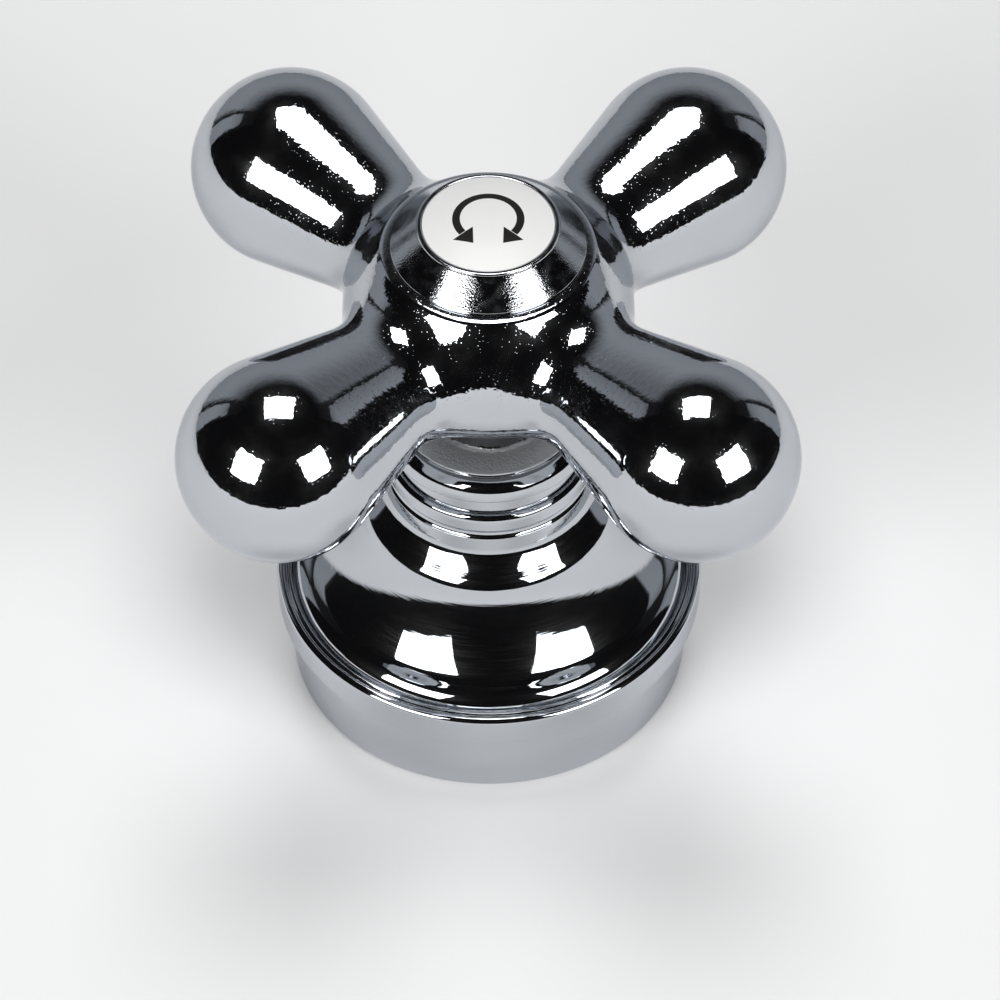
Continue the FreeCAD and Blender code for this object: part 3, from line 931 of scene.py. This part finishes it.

# %% [markdown]
# ## The cross, polished by hand
# Below the hub no wheel could get in. There, on the stem and on the shelf, the cast skin stays grainy
# under its plate and dull on the flat shelf. Its colour is painted light on the shelf, paler than the plate,
# and painted shade on the stem, nearly black. Two materials with a border between faces would show a hard
# line, so one finish carries a share that is one where it is unpolished.

# %% Relief of the cross
WAVE_SIZE, WAVE_HEIGHT = 9.0, 0.20
PEEL_SIZE, PEEL_HEIGHT, PEEL_ON_BULBS, PEEL_FULL, PEEL_FADED = 0.6, 0.014, 0.75, 15.0, 25.0
PIT_SPACING, PIT_REACH, PIT_DEPTH = 0.34, 0.22, 0.009
PITS_ON_BULBS, PITS_FULL, PITS_FADED = 0.35, 19.0, 27.0
CAST_SIZE, CAST_RADIUS, CAST_TOP, RADIUS_BORDER, TOP_BORDER = 0.3, 9.9, 42.8, 0.4, 0.7
SHELF_HEIGHT, STEM_HEIGHT, STEM_START, STEM_FULL = 0.10, 0.07, SHELF + 0.05, SHELF + 0.4

hand_polished, tree, shader = finish("hand_polished_chrome")
place, _, _, z, out = own_place(tree)
near_axis = soft_step(tree, out, CAST_RADIUS + RADIUS_BORDER, CAST_RADIUS - RADIUS_BORDER)
below_hub = soft_step(tree, z, CAST_TOP + TOP_BORDER, CAST_TOP - TOP_BORDER)
unpolished = times(tree, near_axis, below_hub)
on_stem = soft_step(tree, z, STEM_START, STEM_FULL)
lumps = grain(tree, place, WAVE_SIZE, detail=0.0)
wave = times(tree, lumps, WAVE_HEIGHT)
peel = times(tree, grain(tree, place, PEEL_SIZE, detail=1.0), PEEL_HEIGHT)
near_hub = soft_step(tree, out, PEEL_FULL, PEEL_FADED, 1.0, PEEL_ON_BULBS)
pit = soft_step(tree, nearest_point(tree, place, PIT_SPACING), 0.0, PIT_REACH, -PIT_DEPTH, 0.0)
pits = times(tree, pit, soft_step(tree, out, PITS_FULL, PITS_FADED, 1.0, PITS_ON_BULBS))
rippled = total(tree, times(tree, peel, near_hub), pits)
cast_height = soft_step(tree, on_stem, 0.0, 1.0, SHELF_HEIGHT, STEM_HEIGHT)
cast_share = times(tree, unpolished, cast_height)
cast_skin = times(tree, grain(tree, place, CAST_SIZE, detail=1.0), cast_share)
relief(tree, shader, total(tree, wave, rippled, cast_skin))
print("cross relief nodes", len(tree.nodes))

# %% Colour and roughness of the cross
# Painted light and shade: the shelf's colour is paler than the plate, as if lit from above, and the stem's
# is nearly black, as if shaded under the hub
SHELF_PAINTED_LIGHT, STEM_PAINTED_SHADE = (0.95, 0.96, 0.97), (0.14, 0.145, 0.15)
SHELF_ROUGHNESS, CAST_STEM_ROUGHNESS = 0.62, 0.08
FILM_SIZE = 2.5

plate_tone = two_tone(tree, lumps, PLATE_DARK, PLATE_LIGHT)
cast_painted_light_and_shade = two_tone(tree, on_stem, SHELF_PAINTED_LIGHT, STEM_PAINTED_SHADE)
feed(tree, shader.inputs["Base Color"], two_tone(tree, unpolished, plate_tone, cast_painted_light_and_shade))
cast_roughness = soft_step(tree, on_stem, 0.0, 1.0, SHELF_ROUGHNESS, CAST_STEM_ROUGHNESS)
rough_cast = times(tree, unpolished, cast_roughness)
feed(tree, shader.inputs["Roughness"], total(tree, smudges(tree, place), rough_cast))
plated(shader)
handled(tree, shader, place, FILM_SIZE)
print("cross finish nodes", len(tree.nodes))

# %% [markdown]
# ## The bell, polished on a lathe
# The bell, its rings and the collar are smoother and straighter than the arms, with fine lines that the
# polishing mop left round the turning bell. The grain is stretched along those lines: it changes
# quickly up the outline, where the height less the radius grows steadily, and slowly round the axis.

# %% Chrome for the bell
BELL_WAVE_HEIGHT, LINE_SIZE, LINE_LENGTH, LINE_HEIGHT = 0.03, 0.16, 6.0, 0.0025
BELL_MIDDLE = 18.0

lathe_polished, tree, shader = finish("lathe_polished_chrome")
place, x, y, z, out = own_place(tree)
lines_around = BELL_MIDDLE / LINE_LENGTH
mop_place = vector(
    tree,
    times(tree, reckon(tree, "DIVIDE", x, out), lines_around),
    times(tree, reckon(tree, "DIVIDE", y, out), lines_around),
    reckon(tree, "DIVIDE", reckon(tree, "SUBTRACT", z, out), LINE_SIZE),
)
lines = times(tree, grain(tree, mop_place, 1.0, detail=1.0), LINE_HEIGHT)
lumps = grain(tree, place, WAVE_SIZE, detail=0.0)
relief(tree, shader, total(tree, lines, times(tree, lumps, BELL_WAVE_HEIGHT)))
feed(tree, shader.inputs["Base Color"], two_tone(tree, lumps, PLATE_DARK, PLATE_LIGHT))
feed(tree, shader.inputs["Roughness"], smudges(tree, place))
plated(shader)
handled(tree, shader, mop_place, 1.0)
print("bell finish nodes", len(tree.nodes))

# %% Which faces have which finish
BELL_FINISH_TOP = SHELF - 0.1

wear(casting, hand_polished)
casting.data.materials.append(lathe_polished)
on_bell = [face.center.z / MM < BELL_FINISH_TOP for face in casting.data.polygons]
casting.data.polygons.foreach_set("material_index", np.array(on_bell, np.int32))
print("faces on the bell", sum(on_bell), "of", len(on_bell))

# %% [markdown]
# ## Grained chrome for the bezel
# The bezel is taken to be plated plastic with a fine grain, because the lamps show on its cone as wide
# patches that break up into sparkles at their edges. Roughness alone would only blur them, so the grain
# is relief. The ring and the lower edge stay smooth.

# %% Chrome for the bezel
GRAIN_SIZE, GRAIN_HEIGHT, COARSE_SIZE, COARSE_HEIGHT = 0.18, 0.014, 1.0, 0.015
BEZEL_DARK, BEZEL_LIGHT, BEZEL_TONE_SIZE = (0.54, 0.557, 0.58), (0.60, 0.615, 0.635), 3.0
DULL_SIZE, DULL_RANGE, BEZEL_ROUGHNESS = 1.2, (0.35, 0.65), (0.06, 0.16)
CONE_START, CONE_FULL, RING_CLEAR = HUB_TOP + BEZEL_EDGE - 0.05, HUB_TOP + BEZEL_EDGE + 0.1, 0.1

button_chrome, tree, shader = finish("button_chrome_grain")
place, _, _, z, out = own_place(tree)
fine = times(tree, grain(tree, place, GRAIN_SIZE), GRAIN_HEIGHT)
coarse = times(tree, grain(tree, place, COARSE_SIZE), COARSE_HEIGHT)
on_cone = soft_step(tree, z, CONE_START, CONE_FULL)
off_ring = soft_step(tree, out, BEZEL_RING_RADIUS, BEZEL_RING_RADIUS + RING_CLEAR)
cone_only = times(tree, on_cone, off_ring)
relief(tree, shader, times(tree, total(tree, fine, coarse), cone_only))
bezel_tone = two_tone(tree, grain(tree, place, BEZEL_TONE_SIZE), BEZEL_DARK, BEZEL_LIGHT)
feed(tree, shader.inputs["Base Color"], bezel_tone)
dull = soft_step(tree, grain(tree, place, DULL_SIZE), *DULL_RANGE, *BEZEL_ROUGHNESS)
feed(tree, shader.inputs["Roughness"], dull)
plated(shader)
wear(bezel, button_chrome)
print("bezel chrome nodes", len(tree.nodes))

# %% [markdown]
# ## The white disc and its turn mark
# The disc is moulded in glossy white plastic. A mark is printed on it in black: an open ring with an
# arrow head at each end, which says that the handle turns both ways. A thin mesh could carry the print, but
# ink has no thickness that shows, so the material works out where it is. Each shape is a distance
# that is above zero inside, the larger of two joins shapes, and the smaller keeps what they share.

# %% Where the ink is
MARK_RADIUS, MARK_WIDTH, MARK_GAP = 3.1, 0.8, math.radians(52)
ARROW_LENGTH, ARROW_HALF, INK_EDGE = 1.7, 1.25, 0.05


def turn_mark(tree, x, y, out):
    """One where the ink is, else zero. Both halves are alike, so only the right one is worked out."""
    side = reckon(tree, "ABSOLUTE", x)
    off_middle = reckon(tree, "ABSOLUTE", reckon(tree, "SUBTRACT", out, MARK_RADIUS))
    band = reckon(tree, "SUBTRACT", MARK_WIDTH / 2, off_middle)
    off_gap = total(tree, y, times(tree, out, math.cos(MARK_GAP)))
    end_x = reckon(tree, "SUBTRACT", side, MARK_RADIUS * math.sin(MARK_GAP))
    end_y = total(tree, y, MARK_RADIUS * math.cos(MARK_GAP))
    along = total(
        tree,
        times(tree, end_x, -math.cos(MARK_GAP)),
        times(tree, end_y, -math.sin(MARK_GAP)),
    )
    across = total(
        tree,
        times(tree, end_x, math.sin(MARK_GAP)),
        times(tree, end_y, -math.cos(MARK_GAP)),
    )
    half = reckon(tree, "MULTIPLY_ADD", along, -ARROW_HALF / ARROW_LENGTH, ARROW_HALF)
    flank = reckon(tree, "SUBTRACT", half, reckon(tree, "ABSOLUTE", across))
    ring = reckon(tree, "MINIMUM", band, off_gap)
    head = reckon(tree, "MINIMUM", along, flank)
    return soft_step(tree, reckon(tree, "MAXIMUM", ring, head), 0.0, INK_EDGE)


print("mark", round(2 * MARK_RADIUS + MARK_WIDTH, 2), "mm wide on a disc of", round(2 * DISC_RADIUS, 2))

# %% White plastic with its print
INK, WHITE_DARK, WHITE_LIGHT, WHITE_SIZE = (0.02, 0.019, 0.018), (0.80, 0.80, 0.785), (0.84, 0.84, 0.83), 4.0
GLOSS_SIZE, GLOSS_RANGE, DISC_ROUGHNESS, DISC_SHINE = 2.0, (0.3, 0.7), (0.12, 0.2), 0.12
SINK_SIZE, SINK_HEIGHT, DOME_FOOT, DOME_BORDER = 3.0, 0.02, DISC_TOP - DISC_CROWN, 0.1

white, tree, shader = finish("white_disc_gloss")
place, x, y, z, out = own_place(tree)
plastic = two_tone(tree, grain(tree, place, WHITE_SIZE), WHITE_DARK, WHITE_LIGHT)
on_top = soft_step(tree, z, DOME_FOOT - DOME_BORDER, DOME_FOOT)
ink_share = times(tree, turn_mark(tree, x, y, out), on_top)
feed(tree, shader.inputs["Base Color"], two_tone(tree, ink_share, plastic, INK))
gloss = soft_step(tree, grain(tree, place, GLOSS_SIZE), *GLOSS_RANGE, *DISC_ROUGHNESS)
feed(tree, shader.inputs["Roughness"], gloss)
shader.inputs["Specular IOR Level"].default_value = DISC_SHINE
relief(tree, shader, times(tree, grain(tree, place, SINK_SIZE, detail=1.0), SINK_HEIGHT))
wear(disc, white)
print("disc nodes", len(tree.nodes))

# %% [markdown]
# ## Turned brass for the screw
# Brass that has lain under a button is a little tarnished, with fine rings from the lathe. The grain is
# squeezed along the screw's axis to make those rings.

# %% Brass
BRASS, TARNISHED, BRASS_ROUGHNESS = (0.78, 0.56, 0.25), (0.50, 0.33, 0.13), (0.2, 0.42)
RINGS_PER_MM, LATHE_HEIGHT, TARNISH_SIZE, TARNISH_RANGE = 12.0, 0.01, 1.5, (0.4, 0.7)

brass, tree, shader = finish("screw_brass_turned")
place, x, y, z, _ = own_place(tree)
turned_place = vector(tree, x, y, times(tree, z, RINGS_PER_MM))
relief(tree, shader, times(tree, grain(tree, turned_place, 1.0), LATHE_HEIGHT))
tarnish = soft_step(tree, grain(tree, place, TARNISH_SIZE, detail=3.0), *TARNISH_RANGE)
feed(tree, shader.inputs["Base Color"], two_tone(tree, tarnish, BRASS, TARNISHED))
feed(tree, shader.inputs["Roughness"], soft_step(tree, tarnish, 0.0, 1.0, *BRASS_ROUGHNESS))
shader.inputs["Metallic"].default_value = 1.0
wear(screw, brass)
print("brass nodes", len(tree.nodes))

# %% [markdown]
# ## The studio
# Chrome has hardly a colour of its own: it shows the room. Here a white table lies below, two
# softboxes stand in front, a third hangs above, a blue-grey paper stands behind, and the rest is dark.
# The paper ends in a low card on each side, which shows as a band on a front arm. Its colour darkens towards
# the top and is dark beside the sheet and cards: that is painted shade. A black tent round it all keeps the
# pale world off the chrome, as a photographer's black cloth does, and glows faintly: that is painted light
# for the dim room. Tent and paper are hidden from the camera, so that every side shows the handle on pale
# ground.

# %% Table
TABLE_FRONT, TABLE_BACK, TABLE_HALF_WIDTH, TABLE_POINTS = 0.36, 1.02, 0.97, 96
TABLE_WHITE, MATT_ROUGHNESS = (0.9, 0.9, 0.9), 0.9


def stage_piece(name, mesh, seen):
    """Puts a piece of the set on the stage. The camera sees only the table."""
    piece = added(name, mesh)
    piece.visible_camera = seen
    return piece


def matt(name, colour):
    """A finish with no shine at all."""
    material, tree, shader = finish(name)
    shader.inputs["Roughness"].default_value = MATT_ROUGHNESS
    shader.inputs["Specular IOR Level"].default_value = 0.0
    shader.inputs["Base Color"].default_value = (*colour, 1)
    return material, tree, shader


table_turns = np.linspace(0, 2 * math.pi, TABLE_POINTS, endpoint=False)
table_middle = (TABLE_BACK - TABLE_FRONT) / 2
table_depth = (TABLE_BACK + TABLE_FRONT) / 2
table_edge = [
    (TABLE_HALF_WIDTH * math.sin(turn), table_middle - table_depth * math.cos(turn), 0.0)
    for turn in table_turns
]
table_mesh = bpy.data.meshes.new("table")
table_mesh.from_pydata(table_edge, [], [list(range(TABLE_POINTS))])
table_top = stage_piece("table", table_mesh, True)
table_white, _, _ = matt("table_white", TABLE_WHITE)
wear(table_top, table_white)
print("table", 2 * TABLE_HALF_WIDTH, "m wide and", round(2 * table_depth, 2), "m deep")

# %% Paper as an arc behind the handle
PAPER_RADIUS, PAPER_FIRST, PAPER_LAST, PAPER_STEPS, PAPER_HEIGHT = 1.05, 106.0, 250.0, 72, 1.3

paper_turns = np.radians(np.linspace(PAPER_FIRST, PAPER_LAST, PAPER_STEPS))
paper_points = [
    (PAPER_RADIUS * math.sin(turn), -PAPER_RADIUS * math.cos(turn), height)
    for turn in paper_turns
    for height in (0.0, PAPER_HEIGHT)
]
paper_faces = [(2 * step, 2 * step + 1, 2 * step + 3, 2 * step + 2) for step in range(PAPER_STEPS - 1)]
paper_mesh = bpy.data.meshes.new("paper")
paper_mesh.from_pydata(paper_points, [], paper_faces)
paper = stage_piece("paper", paper_mesh, False)
print("paper faces", len(paper_faces))

# %% Tint of the paper and its two cards, with painted shade round them
PAPER_TINT, PAPER_PAINTED_SHADE = (0.40, 0.42, 0.45), (0.02, 0.02, 0.021)
PAINTED_SHADE_START, PAINTED_SHADE_FULL, CARD_TOP, CARD_FULL = 350.0, 1250.0, 800.0, 720.0
# Each strip has a left and a right edge, in radians from straight behind: where it starts, where it is full
SHEET = ((-0.90, -0.78), (0.94, 0.82))
LEFT_CARD = ((-1.20, -1.17), (-0.92, -0.95))
RIGHT_CARD = ((0.955, 0.985), (1.28, 1.24))

paper_tint_and_shade, tree, shader = matt("paper_blue_grey_painted_shade", PAPER_TINT)
_, x, y, z, _ = own_place(tree)
turn = reckon(tree, "ARCTAN2", x, y)


def strip(left_edge, right_edge):
    """One on an upright strip of the paper, zero beside it."""
    return times(tree, soft_step(tree, turn, *left_edge), soft_step(tree, turn, *right_edge))


both_cards = total(tree, strip(*RIGHT_CARD), strip(*LEFT_CARD))
cards = times(tree, both_cards, soft_step(tree, z, CARD_TOP, CARD_FULL))
# Painted shade: the tint fades to dark towards the top, and the paper is dark beside the sheet and cards,
# for the lamps' fall-off and the dark room
painted_shade_fade = soft_step(tree, z, PAINTED_SHADE_START, PAINTED_SHADE_FULL, 1.0, 0.0)
tinted = times(tree, painted_shade_fade, total(tree, strip(*SHEET), cards))
feed(tree, shader.inputs["Base Color"], two_tone(tree, tinted, PAPER_PAINTED_SHADE, PAPER_TINT))
wear(paper, paper_tint_and_shade)
print("paper nodes", len(tree.nodes))

# %% Tent
TENT_RADIUS, TENT_PAINTED_GLOW = 2.6, (0.005, 0.005, 0.0054)

tent_mesh = bpy.data.meshes.new("tent")
reworked(tent_mesh, lambda work: bmesh.ops.create_icosphere(work, subdivisions=2, radius=TENT_RADIUS))
tent = stage_piece("tent", tent_mesh, False)
tent_glowing_cloth, tree, shader = finish("tent_black_faint_glow")
# Painted light: the tent's cloth glows faintly, for the dim light of a dark room
glow_emission = tree.nodes.new("ShaderNodeEmission")
glow_emission.inputs["Color"].default_value = (*TENT_PAINTED_GLOW, 1)
tree.links.new(glow_emission.outputs[0], tree.nodes["Material Output"].inputs["Surface"])
tree.nodes.remove(shader)
tent_glowing_cloth.cycles.emission_sampling = "NONE"
wear(tent, tent_glowing_cloth)
print("tent faces", len(tent_mesh.polygons))

# %% [markdown]
# ## Lamps, world and camera
# Each softbox is an area lamp that faces the handle. Its brightness is given as seen in a mirror, so
# that its size can change without changing how its reflection looks. The camera is far off with a
# long lens and looks down at nearly 48 degrees, as in the photograph.

# %% Softboxes
LAMP_DISTANCE = 1.3
# Azimuth from the camera's side to the right, elevation, width, height and brightness
SOFTBOXES = {
    "left_softbox": (-40.0, 29.5, 0.72, 0.64, 6.7),
    "right_softbox": (47.0, 28.5, 0.72, 0.64, 6.7),
    "top_softbox": (180.0, 76.0, 0.62, 0.62, 6.6),
}

for name, (azimuth, elevation, width, height, brightness) in SOFTBOXES.items():
    lamp = bpy.data.lights.new(name, "AREA")
    lamp.shape = "RECTANGLE"
    lamp.size, lamp.size_y = width, height
    lamp.energy = brightness * math.pi * width * height
    turn, lift = math.radians(azimuth), math.radians(elevation)
    way = Vector((math.sin(turn) * math.cos(lift), -math.cos(turn) * math.cos(lift), math.sin(lift)))
    holder = added(name, lamp)
    holder.location = Vector((0, 0, ARM_AXIS * MM)) + way * LAMP_DISTANCE
    holder.rotation_euler = way.to_track_quat("Z", "Y").to_euler()
    holder.visible_camera = False
    print(name, "watts", round(lamp.energy, 2))

# %% World
PALE_ROOM = (0.85, 0.85, 0.86)

world = bpy.data.worlds.new("pale_room")
world.use_nodes = True
world.node_tree.nodes["Background"].inputs["Color"].default_value = (*PALE_ROOM, 1)
bpy.context.scene.world = world
print("world outside the tent", PALE_ROOM)

# %% Camera
CAMERA_ELEVATION, CAMERA_DISTANCE, CAMERA_LENS = 47.7791, 538.06, 190.99
CAMERA_AIM = Vector((1.1231, 0.0, 20.8912)) * MM

camera = bpy.data.cameras.new("camera")
camera.lens = CAMERA_LENS
camera.sensor_width = 36
camera.clip_start = 0.01
camera_holder = added("camera", camera)
camera_lift = math.radians(CAMERA_ELEVATION)
camera_way = Vector((0, -math.cos(camera_lift), math.sin(camera_lift)))
camera_holder.location = CAMERA_AIM + camera_way * CAMERA_DISTANCE * MM
camera_holder.rotation_euler = camera_way.to_track_quat("Z", "Y").to_euler()
bpy.context.scene.camera = camera_holder
bpy.context.scene.view_settings.view_transform = "Standard"
print("camera at", tuple(round(part, 4) for part in camera_holder.location))
